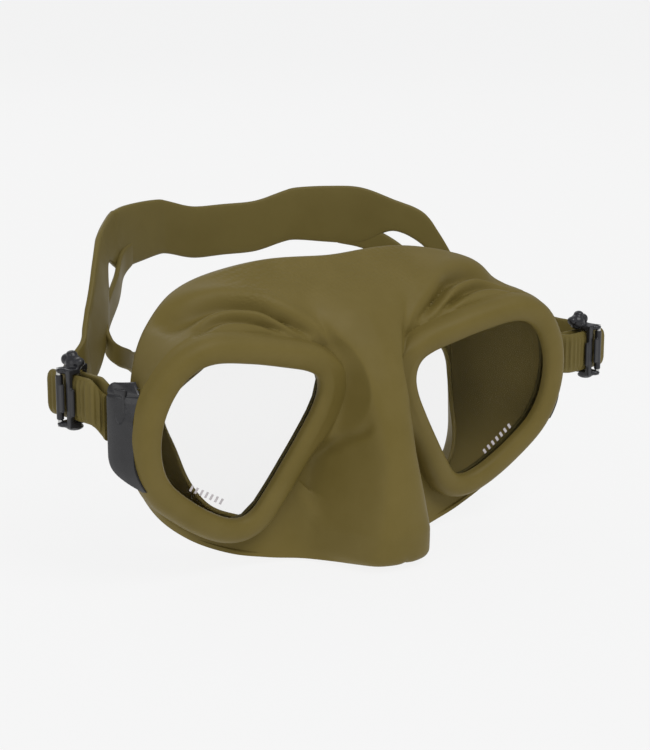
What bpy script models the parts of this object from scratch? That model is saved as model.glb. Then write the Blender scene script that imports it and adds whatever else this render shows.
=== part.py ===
"""A low-volume diving mask: silicone skirt, two lenses, inner frame, temple lugs, split strap and sliding buckles.

Sizes below are in millimetres and turn into metres where a mesh is made.
+Z is up, the lenses face -Y, and the wearer's left is +X. The origin is on the middle plane between the lenses.
"""

import math

import bmesh
import bpy
from mathutils import Vector

MM = 0.001
GAP = 0.3  # between neighbours that touch

# Lens plane: it passes through LENS_ORIGIN, and its top leans forward.
LENS_ORIGIN = (0.0, -4.4, -0.3)
LENS_LEAN = math.radians(8.8)
WINDOW_CENTRE = (43.0, -4.0)
# One window's outline, as points across and up in the lens plane.
WINDOW = [
    (17.8, 6.5), (18.9, 11.0), (23.0, 13.6), (31.0, 15.8), (43.0, 18.5), (55.0, 20.0), (62.5, 17.6),
    (67.7, 11.6), (70.6, 3.2), (70.4, -6.7), (66.7, -15.2), (57.8, -23.2), (49.0, -28.8), (42.5, -30.9),
    (37.8, -29.3), (33.4, -23.5), (28.6, -15.8), (23.5, -7.2), (19.4, 0.6),
]

# The skirt's rim in section: how far outside the window, and how far in front of the lens plane.
RIM_SECTION = [
    (3.7, -5.0), (3.7, -2.8), (0.4, -2.8), (0.0, -2.2), (0.0, -0.6), (1.0, 0.7),
    (3.9, 1.3), (6.6, 0.4), (7.9, -1.6), (8.3, -4.2),
]
SKIRT_THICKNESS = 1.3
BODY_STEPS = (0.1, 0.22, 0.36, 0.52, 0.68, 0.84, 1.0)

# The front's outer line from brow to lip, and the face seal's rear line beside it.
FRONT_EDGE = [
    (0, 17, 43), (23, 17, 43.6), (42, 19, 40.8), (54.5, 18, 36.8), (64, 15, 30), (71, 11, 22),
    (75.2, 7.5, 10), (75.6, 7, -3), (74.6, 6.5, -14), (68, 4.5, -26), (57, 2, -35),
    (43.5, 1, -41.6), (31, 1, -45.3), (21, -1, -47), (15, -9, -47), (12.5, -17, -46),
    (9, -22.5, -45), (0, -24.5, -45),
]
SEAL_EDGE = [
    (0, 28, 38.5), (23, 29, 39), (40, 31, 35.5), (49, 32.5, 30), (54.5, 33, 23), (58, 33, 14),
    (59.3, 33, 5), (59.5, 32, -6), (57.5, 29.5, -16), (53, 25, -25), (45.5, 20.5, -31.5),
    (36, 18, -36), (27, 16, -38.5), (20, 14.5, -40), (14, 13, -40.7), (10, 12.3, -41),
    (6, 12, -41), (0, 12, -41),
]
# The inner edge of the seal's flap, which curls forward and in.
FLAP_EDGE = [
    (0, 22, 27), (15, 22, 25), (28, 21, 19), (36, 21, 14), (42, 21, 10), (48, 22.5, 5.8),
    (52, 25, 1), (53.2, 25.6, -4), (51.4, 21.8, -12), (49.6, 17.2, -21.5), (45, 13.4, -29),
    (36, 11.5, -33), (27, 11, -35.5), (19, 10.5, -37), (13, 9.5, -38), (9.5, 8.5, -38.5),
    (5.5, 8, -38.5), (0, 8, -38.5),
]
SEAL_STEPS = (0.35, 0.7, 1.0)
SEAL_BULGE = 0.4

# The nose pocket by height, from brow to lip: its front's depth and half width, and the face behind it.
NOSE = [
    (43, 17, 24, 17), (36, 6.5, 20, 7), (29, -2, 16.5, 0), (20, -9.5, 12, -6), (9.5, -15.3, 8.6, -8),
    (-1.5, -19.8, 6.8, -6), (-13, -23.3, 6.4, -3), (-25, -25.2, 8.2, -1.5), (-36, -26, 10.4, 0),
    (-45, -25, 11.2, 1),
]
NOSE_SIDE_SLOPE = 3.0
NOSE_CROWN = 0.012  # per mm, how far the front falls back from its middle line
NOSE_BLEND = 4.0

# Lens and inner frame in the same section as the rim.
LENS_OFFSET = 3.4
LENS_FRONT = -3.1
LENS_BACK = -6.1
FRAME_SECTION = [(2.8, -6.4), (4.0, -6.4), (4.0, -7.6), (2.8, -7.6)]
RING_STATIONS = 44
BRIDGE = [(14.2, 1.6, 8.6), (12, 2.4, 9.6), (8, 2.4, 11), (0, 0.6, 12)]
BRIDGE_SIZE = (1.8, 5.0)

# Lug: each one's strap pin stands upright at this place, and sizes are (along, outward, up) from it.
LUG_PIN = (79.2, 6.5, 2.5)
LUG_HALF_HEIGHT = 11.5
EAR = 1.8
PIN_RADIUS = 0.85
COVER_LOW = (-5.5, 3.0, -14.0)
COVER_HIGH = (3.3, 4.1, 12.6)
RECESS_CENTRE = (-1.4, 4.1, 5.5)
RECESS_SIZE = (3.6, 0.6, 7.0)
ARMS = [(0.1, 12.3, 70.4), (3.3, -8.9, 72.9)]  # each frame arm's front, underside and inner end
ARM_SIZE = (1.1, 1.6)
SLOT_REACH = 5.0

# Strap: a band whose two ribbed ends run out round the lug pins and back through the buckles.
STRAP_THICKNESS = 1.7
STRAND_WIDTH = 13.4
STRAND_SHIFT = 2.0
STRAP_AT_LUG = 4.2
LOOP_STEPS = 8
# Its middle line and upright width: from the back of the head to each buckle, then the lower band.
BAND_MIDDLE = [(0, 80, 42.4, 17.1)]
BAND_LEFT = [
    (-12, 79.3, 42.6, 17.2), (-22, 77.5, 45.2, 17.4), (-27, 76, 46, 18), (-38, 71.5, 45.5, 19.4),
    (-47, 66.5, 45, 19), (-55, 60, 46.4, 11), (-62, 53.5, 42.5, 12), (-68, 46.5, 34, 15),
    (-73, 40, 24.5, 16.5), (-79.4, 33, 14.5, 16),
]
BAND_RIGHT = [
    (12, 79.3, 42.6, 17.2), (22, 77.5, 45.2, 17.4), (27, 76, 46, 18), (38, 71.5, 45.5, 19.4),
    (47, 66.5, 45, 19), (56, 60.5, 45, 11), (65, 55, 40, 11.6), (71, 52, 30.5, 12.5),
    (77, 48.5, 20, 13), (90, 42, 11, 13.4), (103, 34, 3, 13.4), (112, 26, 0.8, 13.4),
]
LOWER_BAND = [
    (-40, 70.5, 39.5, 8), (-48, 65, 37.5, 8.5), (-56, 57.5, 32, 9.5), (-62.5, 50, 24, 9),
    (-65.8, 44.5, 18, 8), (-64, 41.5, 14.5, 7), (-57, 45, 11.5, 6.7), (-50, 50, 8.8, 7),
    (-38, 58.5, 8.5, 8), (-20, 66.5, 9.5, 9), (0, 69, 10.5, 9.5), (20, 66.5, 11.5, 9),
    (38, 59.5, 12, 8.5), (52, 53, 14, 8), (60, 50, 19, 8), (61.5, 53.5, 25, 8.5),
    (57, 59.5, 31.5, 9), (48, 66, 37.5, 8.6), (40, 70.5, 39.5, 8),
]

# Buckles: the middle of each between the two strands, and the strap's heading there.
BUCKLE_LEFT = ((-84.2, 22.0, 8.8), (-0.16, 0.987))
BUCKLE_RIGHT = ((104.2, 15.7, 0.6), (0.98, 0.2))
TAIL_LEFT = 10.8
TAIL_RIGHT = 8.8
STRAIGHT = 8.5  # of the strap, on each side of a buckle's middle
BUCKLE_LOW = (-3.2, -4.4, -8.9)
BUCKLE_HIGH = (3.2, 6.4, 8.9)
TUNNEL_OUT = 3.35
TUNNEL_UP = 7.1
CAM_PIVOT = (1.6, 5.0)
ROLLER_RADIUS = 0.8
HOLE_RADIUS = 1.1


def spline(points, steps, closed=False):
    """Points along a Catmull-Rom curve through the given ones, with this many steps between each two."""
    points = [Vector(p) for p in points]
    count = len(points)
    result = []
    for i in range(count if closed else count - 1):
        if closed:
            a, b, c, d = (points[(i + k) % count] for k in (-1, 0, 1, 2))
        else:
            b, c = points[i], points[i + 1]
            a = points[i - 1] if i else 2 * b - c
            d = points[i + 2] if i + 2 < count else 2 * c - b
        for k in range(steps):
            t = k / steps
            result.append(
                0.5 * (2 * b + (c - a) * t + (2 * a - 5 * b + 4 * c - d) * t * t
                       + (3 * b - 3 * c + d - a) * t ** 3)
            )
    if not closed:
        result.append(points[-1])
    return result


def lens_point(across, up, front=0.0):
    """A point of the lens plane, moved out of it to the front."""
    return Vector((
        across,
        LENS_ORIGIN[1] - up * math.sin(LENS_LEAN) - front * math.cos(LENS_LEAN),
        LENS_ORIGIN[2] + up * math.cos(LENS_LEAN) - front * math.sin(LENS_LEAN),
    ))


WINDOW_CURVE = spline([(x, y, 0) for x, y in WINDOW], 12, closed=True)


def window_station(angle):
    """The window's point in this direction from its centre, and the outward direction there."""
    count = len(WINDOW_CURVE)
    for i in range(count):
        p, q = WINDOW_CURVE[i], WINDOW_CURVE[(i + 1) % count]
        first = math.atan2(p.y - WINDOW_CENTRE[1], p.x - WINDOW_CENTRE[0])
        turn = (math.atan2(q.y - WINDOW_CENTRE[1], q.x - WINDOW_CENTRE[0]) - first) % math.tau
        offset = (angle - first) % math.tau
        if turn > math.pi:
            turn, offset = math.tau - turn, (first - angle) % math.tau
        if offset <= turn:
            step = q - p
            outward = Vector((-step.y, step.x, 0)).normalized()
            return p + step * (offset / turn), outward
    raise ValueError("no window point in this direction")


def material(name, colour, roughness, metallic=0.0, transmission=0.0):
    made = bpy.data.materials.new(name)
    made.use_nodes = True
    shader = made.node_tree.nodes["Principled BSDF"]
    shader.inputs["Base Color"].default_value = (*colour, 1.0)
    shader.inputs["Roughness"].default_value = roughness
    shader.inputs["Metallic"].default_value = metallic
    shader.inputs["Transmission Weight"].default_value = transmission
    return made


def clear_scene():
    for obj in list(bpy.data.objects):
        bpy.data.objects.remove(obj, do_unlink=True)


def collection(name, hidden=False):
    made = bpy.data.collections.new(name)
    made.hide_render = hidden
    bpy.context.scene.collection.children.link(made)
    return made


def finish_mesh(name, bm, group, finish, origin=(0, 0, 0)):
    """An object from a bmesh in millimetres, with its own origin and a material."""
    bm.normal_update()
    bmesh.ops.recalc_face_normals(bm, faces=bm.faces)
    if all(edge.is_manifold for edge in bm.edges) and bm.calc_volume(signed=True) < 0:
        bmesh.ops.reverse_faces(bm, faces=bm.faces)
    origin = Vector(origin)
    for vert in bm.verts:
        vert.co = (vert.co - origin) * MM
    mesh = bpy.data.meshes.new(name)
    bm.to_mesh(mesh)
    bm.free()
    mesh.materials.append(finish)
    mesh.shade_smooth()
    mesh.set_sharp_from_angle(angle=math.radians(40))
    obj = bpy.data.objects.new(name, mesh)
    obj.location = origin * MM
    group.objects.link(obj)
    return obj


def cut(obj, cutter):
    cutter.display_type = "WIRE"
    cutter.hide_render = True
    modifier = obj.modifiers.new("cut", "BOOLEAN")
    modifier.operation = "DIFFERENCE"
    modifier.object = cutter


def join(obj, other):
    """A union with a solid that stays in the cutters' collection."""
    other.display_type = "WIRE"
    other.hide_render = True
    modifier = obj.modifiers.new("union", "BOOLEAN")
    modifier.operation = "UNION"
    modifier.object = other


class Frame:
    """A local frame on the strap or a lug: along the strap, outward, and up."""

    def __init__(self, origin, heading):
        self.origin = Vector(origin)
        self.along = Vector((heading[0], heading[1], 0)).normalized()
        self.side = 1 if origin[0] > 0 else -1
        self.out = Vector((self.along.y, -self.along.x, 0)) * self.side

    def point(self, along, out, up):
        return self.origin + self.along * along + self.out * out + Vector((0, 0, up))


class WorldFrame:
    """The world's own axes, as a frame."""

    @staticmethod
    def point(x, y, z):
        return Vector((x, y, z))


WORLD = WorldFrame()


def add_box(bm, frame, low, high):
    """A box between two corners, given along, outward and up in the frame."""
    made = bmesh.ops.create_cube(bm, size=1.0)
    for vert in made["verts"]:
        place = [low[i] + (vert.co[i] + 0.5) * (high[i] - low[i]) for i in range(3)]
        vert.co = frame.point(*place)
    return made["verts"]


def add_rod(bm, frame, centre, radius, low, high, sides=14):
    """An upright rod in the frame."""
    made = bmesh.ops.create_cone(
        bm, cap_ends=True, segments=sides, radius1=radius, radius2=radius, depth=1.0
    )
    for vert in made["verts"]:
        up = low + (vert.co.z + 0.5) * (high - low)
        vert.co = frame.point(centre[0] + vert.co.x, centre[1] + vert.co.y, up)
    return made["verts"]


# Skirt ---------------------------------------------------------------


def outer_points():
    """The front's outer loop: from brow centre round the side to the lip, then up the middle plane."""
    edge = spline(FRONT_EDGE, 2)
    middle = spline([(0, face, height) for height, _, _, face in reversed(NOSE)], 2)
    return edge, middle[1:-1]


def nose_values(height):
    """The nose's front depth and half width at this height."""
    if height >= NOSE[0][0]:
        return NOSE[0][1], NOSE[0][2]
    for above, below in zip(NOSE, NOSE[1:]):
        if height >= below[0]:
            share = (above[0] - height) / (above[0] - below[0])
            return tuple(above[i] + (below[i] - above[i]) * share for i in (1, 2))
    return NOSE[-1][1], NOSE[-1][2]


def nose_depth(across, height):
    """How far forward the nose pocket reaches at this place, on its front or on its sloping sides."""
    front, half_width = nose_values(height)
    beyond = across - half_width
    side = 0.5 * (beyond + math.sqrt(beyond * beyond + 4)) * NOSE_SIDE_SLOPE
    return front + NOSE_CROWN * across * across + side - 1.0


def smooth_min(a, b, radius):
    share = max(radius - abs(a - b), 0) / radius
    return min(a, b) - share * share * radius / 4


def plane_angle(point):
    """The direction of a point from the window's centre, seen from the front."""
    return math.atan2(point.z - LENS_ORIGIN[2] - WINDOW_CENTRE[1], point.x - WINDOW_CENTRE[0])


def body_point(base, target, step):
    """A point of the front between the rim's base and the outer loop."""
    point = base.lerp(target, step)
    face = base.y + (target.y - base.y) * step ** 1.6
    with_nose = smooth_min(face, nose_depth(point.x, point.z), NOSE_BLEND)
    share = min(step / 0.3, 1.0)
    point.y = face + (with_nose - face) * share
    return point


def spoke(target):
    """One row of the front, from the lens seat out to the outer loop."""
    station, outward = window_station(plane_angle(target))
    row = []
    for offset, front in RIM_SECTION:
        place = station + outward * offset
        row.append(lens_point(place.x, place.y, front))
    base = row[-1]
    return row + [body_point(base, target, step) for step in BODY_STEPS]


def seal_rows(edge):
    """The skirt's side wall and the curled flap of its face seal, one row for each point of the edge."""
    rows = []
    for front, back, flap in zip(edge, spline(SEAL_EDGE, 2), spline(FLAP_EDGE, 2)):
        row = []
        for step in SEAL_STEPS:
            point = front.lerp(back, step)
            bulge = SEAL_BULGE * math.sin(math.pi * step)
            away = Vector((front.x, 0, front.z + 3)).normalized()
            row.append(point + away * bulge)
        row.append(flap)
        if front.x == 0:
            for point in row:
                point.x = 0.0
        rows.append(row)
    return rows


def skirt_half():
    """The right half of the skirt's outer skin."""
    edge, ridge = outer_points()
    rows = [spoke(p) for p in edge + ridge]
    bm = bmesh.new()
    grid = [[bm.verts.new(p) for p in row] for row in rows]
    for i, row in enumerate(grid):
        following = grid[(i + 1) % len(grid)]
        for k in range(len(row) - 1):
            bm.faces.new((row[k], row[k + 1], following[k + 1], following[k]))
    walls = seal_rows([row[-1] for row in rows[: len(edge)]])
    wall_grid = [[grid[i][-1]] + [bm.verts.new(p) for p in row] for i, row in enumerate(walls)]
    for row, following in zip(wall_grid, wall_grid[1:]):
        for k in range(len(row) - 1):
            bm.faces.new((row[k], row[k + 1], following[k + 1], following[k]))
    return bm


def make_skirt(group, cutters, finish):
    obj = finish_mesh("skirt", skirt_half(), group, finish)
    mirror = obj.modifiers.new("halves", "MIRROR")
    mirror.merge_threshold = 0.0001
    mirror.use_clip = True
    shell = obj.modifiers.new("skin", "SOLIDIFY")
    shell.thickness = SKIRT_THICKNESS * MM
    shell.offset = -1
    slots = bmesh.new()
    for side in (-1, 1):
        for low, high in arm_boxes(side, GAP, SLOT_REACH):
            add_box(slots, WORLD, low, high)
    cut(obj, finish_mesh("arm_slots", slots, cutters, finish))
    return obj


# Lenses and inner frame ---------------------------------------------


def window_ring(offset, front, side):
    """A closed ring of points that follows the window at this offset and depth."""
    ring = []
    for i in range(RING_STATIONS):
        station, outward = window_station(math.tau * i / RING_STATIONS)
        place = station + outward * offset
        point = lens_point(place.x, place.y, front)
        point.x *= side
        ring.append(point)
    return ring


def bridge_rings(rings, bm, closed):
    """Faces between rings of equal length; the last ring joins the first where closed."""
    grid = [[bm.verts.new(p) for p in ring] for ring in rings]
    pairs = list(zip(grid, grid[1:])) + ([(grid[-1], grid[0])] if closed else [])
    for near, far in pairs:
        for k in range(len(near)):
            following = (k + 1) % len(near)
            bm.faces.new((near[k], near[following], far[following], far[k]))
    return grid


def make_lens(name, side, group, finish):
    bm = bmesh.new()
    rings = [window_ring(LENS_OFFSET, front, side) for front in (LENS_FRONT, LENS_BACK)]
    grid = bridge_rings(rings, bm, False)
    bm.faces.new(grid[0])
    bm.faces.new(grid[-1])
    centre = lens_point(side * WINDOW_CENTRE[0], WINDOW_CENTRE[1], LENS_FRONT)
    return finish_mesh(name, bm, group, finish, centre)


def arm_boxes(side, margin=0.0, reach=0.0):
    """The two arms that carry a lug, as box corners in world axes."""
    boxes = []
    for front, under, inner in ARMS:
        ends = sorted((side * inner, side * (LUG_PIN[0] - 2.9 + reach)))
        low = (ends[0], front - margin, under - margin)
        high = (ends[1], front + ARM_SIZE[0] + margin, under + ARM_SIZE[1] + margin)
        boxes.append((low, high))
    return boxes


def swept_bar(points, width, height):
    """Rings of four corners along a curve, each upright and square to it."""
    rings = []
    for i, point in enumerate(points):
        ahead = points[min(i + 1, len(points) - 1)] - points[max(i - 1, 0)]
        out = Vector((ahead.y, -ahead.x, 0)).normalized() * (width / 2)
        up = out.cross(ahead).normalized() * (height / 2)
        rings.append([point + out + up, point - out + up, point - out - up, point + out - up])
    return rings


def make_frame(group, cutters, finish):
    """Two rings that hold the lenses from behind, a bridge between them, and four arms for the lugs."""
    parts = []
    for side in (-1, 1):
        bm = bmesh.new()
        bridge_rings([window_ring(*corner, side) for corner in FRAME_SECTION], bm, True)
        parts.append(bm)
    half = spline(BRIDGE, 3)
    bar = half[:-1] + [Vector((-p.x, p.y, p.z)) for p in reversed(half)]
    bridge = bmesh.new()
    grid = bridge_rings(swept_bar(bar, *BRIDGE_SIZE), bridge, False)
    bridge.faces.new(grid[0])
    bridge.faces.new(grid[-1])
    parts.append(bridge)
    arms = bmesh.new()
    for side in (-1, 1):
        for low, high in arm_boxes(side):
            add_box(arms, WORLD, low, high)
    parts.append(arms)
    obj = finish_mesh("inner_frame", parts[0], group, finish)
    for i, bm in enumerate(parts[1:]):
        join(obj, finish_mesh(f"frame_piece_{i}", bm, cutters, finish))
    return obj


# Lugs ----------------------------------------------------------------


def lug_frame(side):
    return Frame((side * LUG_PIN[0], LUG_PIN[1], LUG_PIN[2]), (0, 1))


def make_lug(label, side, group, cutters, plastic, steel):
    frame = lug_frame(side)
    outer = LUG_HALF_HEIGHT
    bm = bmesh.new()
    add_box(bm, frame, (-5.7, -2.6, -outer), (3.2, 2.7, outer))
    bracket = finish_mesh(f"lug_bracket_{label}", bm, group, plastic, frame.origin)
    inside = bmesh.new()
    add_box(inside, frame, (-4.5, -5, EAR - outer), (9, 9, outer - EAR))
    cut(bracket, finish_mesh(f"lug_space_{label}", inside, cutters, plastic))
    beside_rim = bmesh.new()
    add_box(beside_rim, frame, (-9, -9, -20), (-0.8, -0.2, 20))
    cut(bracket, finish_mesh(f"lug_corner_{label}", beside_rim, cutters, plastic))
    hole = bmesh.new()
    add_rod(hole, frame, (0, 0), PIN_RADIUS + GAP, -20, 20)
    cut(bracket, finish_mesh(f"lug_hole_{label}", hole, cutters, plastic))
    pin = bmesh.new()
    add_rod(pin, frame, (0, 0), PIN_RADIUS, -outer + 0.2, outer - 0.2)
    finish_mesh(f"strap_pin_{label}", pin, group, steel, frame.origin)
    make_cover(label, frame, group, cutters, plastic)


def make_cover(label, frame, group, cutters, plastic):
    """The lug's outer plate, with an oval recess in its face."""
    bm = bmesh.new()
    add_box(bm, frame, COVER_LOW, COVER_HIGH)
    origin = frame.point(*COVER_HIGH)
    cover = finish_mesh(f"lug_cover_{label}", bm, group, plastic, origin)
    oval = bmesh.new()
    made = bmesh.ops.create_cone(oval, cap_ends=True, segments=20, radius1=0.5, radius2=0.5, depth=2)
    for vert in made["verts"]:
        vert.co = frame.point(
            RECESS_CENTRE[0] + vert.co.x * RECESS_SIZE[0],
            RECESS_CENTRE[1] + vert.co.z * RECESS_SIZE[1],
            RECESS_CENTRE[2] + vert.co.y * RECESS_SIZE[2],
        )
    cut(cover, finish_mesh(f"cover_recess_{label}", oval, cutters, plastic))


# Strap ---------------------------------------------------------------


def strand(frame, alongs, shift, height=0.0):
    return [(*frame.point(a, shift, height), STRAND_WIDTH) for a in alongs]


def side_path(side, band, buckle, tail):
    """One side of the strap, from the band's end through the buckle, round the lug pin, and back to the tail."""
    lug = lug_frame(side)
    rise = STRAP_AT_LUG - LUG_PIN[2]
    path = [(*Vector(p[:3]), p[3]) for p in spline4(band, 3)]
    path += strand(buckle, (STRAIGHT, 0, -STRAIGHT), -STRAND_SHIFT)
    join_in = [buckle.point(-STRAIGHT, -STRAND_SHIFT, 0), lug.point(3.2, -STRAND_SHIFT, rise)]
    path += eased(join_in, buckle, lug)
    for k in range(LOOP_STEPS + 1):
        turn = math.pi * k / LOOP_STEPS
        place = lug.point(-STRAND_SHIFT * math.sin(turn), -STRAND_SHIFT * math.cos(turn), rise)
        path.append((*place, STRAND_WIDTH))
    join_out = [lug.point(3.2, STRAND_SHIFT, rise), buckle.point(-STRAIGHT, STRAND_SHIFT, 0)]
    path += eased(join_out, lug, buckle, True)
    path += strand(buckle, (0, tail / 2, tail), STRAND_SHIFT)
    return path


def eased(ends, first, last, outward=False):
    """A smooth strand between two frames that leaves and arrives along their headings."""
    start, finish = ends
    pull = (finish - start).length * 0.45
    sign = 1 if outward else -1
    a = start + first.along * pull * sign
    b = finish - last.along * pull * sign
    path = []
    for k in range(9):
        t = k / 8
        place = (start * (1 - t) ** 3 + a * 3 * t * (1 - t) ** 2 + b * 3 * t * t * (1 - t)
                 + finish * t ** 3)
        path.append((*place, STRAND_WIDTH))
    return path


def spline4(points, steps):
    """A spline through points that also carry a width."""
    places = spline([p[:3] for p in points], steps)
    widths = spline([(p[3], 0, 0) for p in points], steps)
    return [(*place, width.x) for place, width in zip(places, widths)]


def strip(path, bm):
    """A closed band of the strap's thickness along a path of places and upright widths."""
    places = [Vector(p[:3]) for p in path]
    rings = []
    for i, place in enumerate(places):
        ahead = places[min(i + 1, len(places) - 1)] - places[max(i - 1, 0)]
        out = Vector((ahead.y, -ahead.x, 0)).normalized() * (STRAP_THICKNESS / 2)
        up = Vector((0, 0, path[i][3] / 2))
        rings.append([place + out + up, place - out + up, place - out - up, place + out - up])
    grid = bridge_rings(rings, bm, False)
    bm.faces.new(grid[0])
    bm.faces.new(grid[-1])


def without_repeats(path):
    kept = [path[0]]
    for point in path[1:]:
        if (Vector(point[:3]) - Vector(kept[-1][:3])).length > 0.2:
            kept.append(point)
    return kept


def make_strap(group, cutters, finish, left, right):
    left_side = side_path(-1, BAND_MIDDLE + BAND_LEFT, left, TAIL_LEFT)
    right_side = side_path(1, BAND_MIDDLE + BAND_RIGHT, right, TAIL_RIGHT)
    bm = bmesh.new()
    strip(without_repeats(left_side[::-1] + right_side), bm)
    obj = finish_mesh("strap", bm, group, finish)
    lower = bmesh.new()
    strip(spline4(LOWER_BAND, 2), lower)
    join(obj, finish_mesh("lower_band", lower, cutters, finish))
    return obj


# Buckles --------------------------------------------------------------


def make_buckle(label, frame, group, cutters, plastic, steel):
    """A buckle frame that slides on the strap, with a roller, a cam lever and the cam's pin."""
    bm = bmesh.new()
    add_box(bm, frame, BUCKLE_LOW, BUCKLE_HIGH)
    body = finish_mesh(f"buckle_frame_{label}", bm, group, plastic, frame.origin)
    space = bmesh.new()
    add_box(space, frame, (-9, -TUNNEL_OUT, -TUNNEL_UP), (9, TUNNEL_OUT, TUNNEL_UP))
    cut(body, finish_mesh(f"buckle_tunnel_{label}", space, cutters, plastic))
    window = bmesh.new()
    add_box(window, frame, (-1.9, 0, -TUNNEL_UP), (9, 9, TUNNEL_UP))
    cut(body, finish_mesh(f"buckle_window_{label}", window, cutters, plastic))
    lower_bar = bmesh.new()
    add_box(lower_bar, frame, (-9, 4.7, -TUNNEL_UP), (-1.5, 9, TUNNEL_UP))
    cut(body, finish_mesh(f"buckle_step_{label}", lower_bar, cutters, plastic))
    for place, kind in (((0, 0), "roller"), (CAM_PIVOT, "cam")):
        hole = bmesh.new()
        add_rod(hole, frame, place, HOLE_RADIUS, -20, 20)
        cut(body, finish_mesh(f"buckle_{kind}_hole_{label}", hole, cutters, plastic))
    roller = bmesh.new()
    reach = BUCKLE_HIGH[2] - 0.2
    add_rod(roller, frame, (0, 0), ROLLER_RADIUS, -reach, reach)
    finish_mesh(f"buckle_roller_{label}", roller, group, steel, frame.origin)
    pin = bmesh.new()
    add_rod(pin, frame, CAM_PIVOT, ROLLER_RADIUS, -reach, reach)
    pivot = frame.point(*CAM_PIVOT, 0)
    finish_mesh(f"cam_pin_{label}", pin, group, steel, pivot)
    make_cam(label, frame, pivot, group, cutters, plastic)


def make_cam(label, frame, pivot, group, cutters, plastic):
    """The cam lever: a hub on its pin, and a plate over the outer strand."""
    half = TUNNEL_UP - GAP
    hub = bmesh.new()
    add_rod(hub, frame, CAM_PIVOT, 1.5, -half, half)
    cam = finish_mesh(f"buckle_cam_{label}", hub, group, plastic, pivot)
    plate = bmesh.new()
    add_box(plate, frame, (-2.9, 5.2, -half), (1.8, 6.4, half))
    join(cam, finish_mesh(f"cam_plate_{label}", plate, cutters, plastic))
    hole = bmesh.new()
    add_rod(hole, frame, CAM_PIVOT, HOLE_RADIUS, -20, 20)
    cut(cam, finish_mesh(f"cam_hole_{label}", hole, cutters, plastic))


def main():
    clear_scene()
    parts = collection("diving_mask")
    cutters = collection("cutters", hidden=True)
    silicone = material("olive silicone", (0.155, 0.118, 0.045), 0.55)
    glass = material("clear glass", (0.9, 0.95, 0.93), 0.05, transmission=1.0)
    dark = material("dark polycarbonate", (0.03, 0.03, 0.03), 0.4)
    black = material("black plastic", (0.02, 0.02, 0.022), 0.45)
    steel = material("stainless steel", (0.6, 0.6, 0.6), 0.3, metallic=1.0)
    make_skirt(parts, cutters, silicone)
    make_frame(parts, cutters, dark)
    left, right = Frame(*BUCKLE_LEFT), Frame(*BUCKLE_RIGHT)
    make_strap(parts, cutters, silicone, left, right)
    for label, side, buckle in (("right_side", -1, left), ("left_side", 1, right)):
        make_lens(f"lens_{label}", side, parts, glass)
        make_lug(label, side, parts, cutters, black, steel)
        make_buckle(label, buckle, parts, cutters, black, steel)


main()
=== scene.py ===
import math

import bmesh
import bpy
import numpy as np
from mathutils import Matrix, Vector


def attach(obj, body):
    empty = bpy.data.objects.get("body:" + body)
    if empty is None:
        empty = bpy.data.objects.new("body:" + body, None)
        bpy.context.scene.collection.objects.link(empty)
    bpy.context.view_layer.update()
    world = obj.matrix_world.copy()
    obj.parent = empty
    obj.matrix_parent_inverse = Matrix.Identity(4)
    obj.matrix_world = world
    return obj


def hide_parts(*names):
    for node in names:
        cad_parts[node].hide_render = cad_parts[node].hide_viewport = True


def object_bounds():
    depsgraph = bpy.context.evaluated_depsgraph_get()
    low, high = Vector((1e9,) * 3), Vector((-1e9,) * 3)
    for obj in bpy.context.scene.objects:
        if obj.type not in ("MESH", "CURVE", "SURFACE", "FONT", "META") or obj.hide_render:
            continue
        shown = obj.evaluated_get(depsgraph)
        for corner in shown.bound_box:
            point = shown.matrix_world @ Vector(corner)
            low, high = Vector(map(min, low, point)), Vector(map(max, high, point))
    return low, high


# The looks of a low-volume diving mask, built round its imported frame. Shapes are given in millimetres in the
# frame's axes: +Z up, the lenses face -Y, and the wearer's left is +X.

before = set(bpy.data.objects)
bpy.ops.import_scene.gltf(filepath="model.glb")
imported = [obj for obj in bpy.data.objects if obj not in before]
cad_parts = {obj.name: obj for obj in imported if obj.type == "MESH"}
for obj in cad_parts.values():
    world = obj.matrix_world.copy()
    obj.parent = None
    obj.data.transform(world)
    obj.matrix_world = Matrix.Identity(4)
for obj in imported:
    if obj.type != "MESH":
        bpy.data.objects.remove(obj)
cad_low, cad_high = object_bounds()

MM = 0.001

# Lens plane and window outline.
LENS_ORIGIN = (0.0, -4.4, -0.3)
LENS_LEAN = math.radians(8.8)
WINDOW_CENTRE = (43.0, -4.0)
WINDOW = [
    (17.8, 6.5), (18.9, 11.0), (23.0, 13.6), (31.0, 15.8), (43.0, 18.5), (55.0, 20.0), (62.5, 17.6),
    (67.7, 11.6), (70.6, 3.2), (70.4, -6.7), (66.7, -15.2), (57.8, -23.2), (49.0, -28.8), (42.5, -30.9),
    (37.8, -29.3), (33.4, -23.5), (28.6, -15.8), (23.5, -7.2), (19.4, 0.6),
]

# Skirt.
RIM_SECTION = [
    (3.7, -5.0), (3.7, -3.1), (3.5, -2.9), (0.6, -2.8), (0.1, -2.5), (0.0, -1.9), (0.0, -0.9), (0.25, -0.2),
    (0.9, 0.5), (2.2, 1.0), (3.9, 1.2), (5.6, 0.9), (7.0, -0.1), (7.9, -1.7), (8.2, -3.4), (8.4, -4.6),
]
SKIRT_THICKNESS = 1.3
BODY_COLUMNS = 44
WALL_COLUMNS = 18
ROUNDED_REACH = 10.0
ROUNDED_COLUMNS = 12
FRONT_EDGE = [
    (0, 17, 43), (23, 17, 43.6), (42, 19, 40.8), (54.5, 18, 36.8), (64, 15, 30), (71, 11, 22),
    (75.2, 7.5, 10), (75.6, 7, -3), (74.6, 7, -14), (68, 6.5, -26.4), (57, 6, -35.8),
    (43.5, 5.6, -42.4), (31, 3.6, -45.8), (21, 0, -47), (14.6, -8.4, -47), (11.4, -15, -46.6),
    (7.8, -20.4, -46), (0, -22.4, -46),
]
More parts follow.
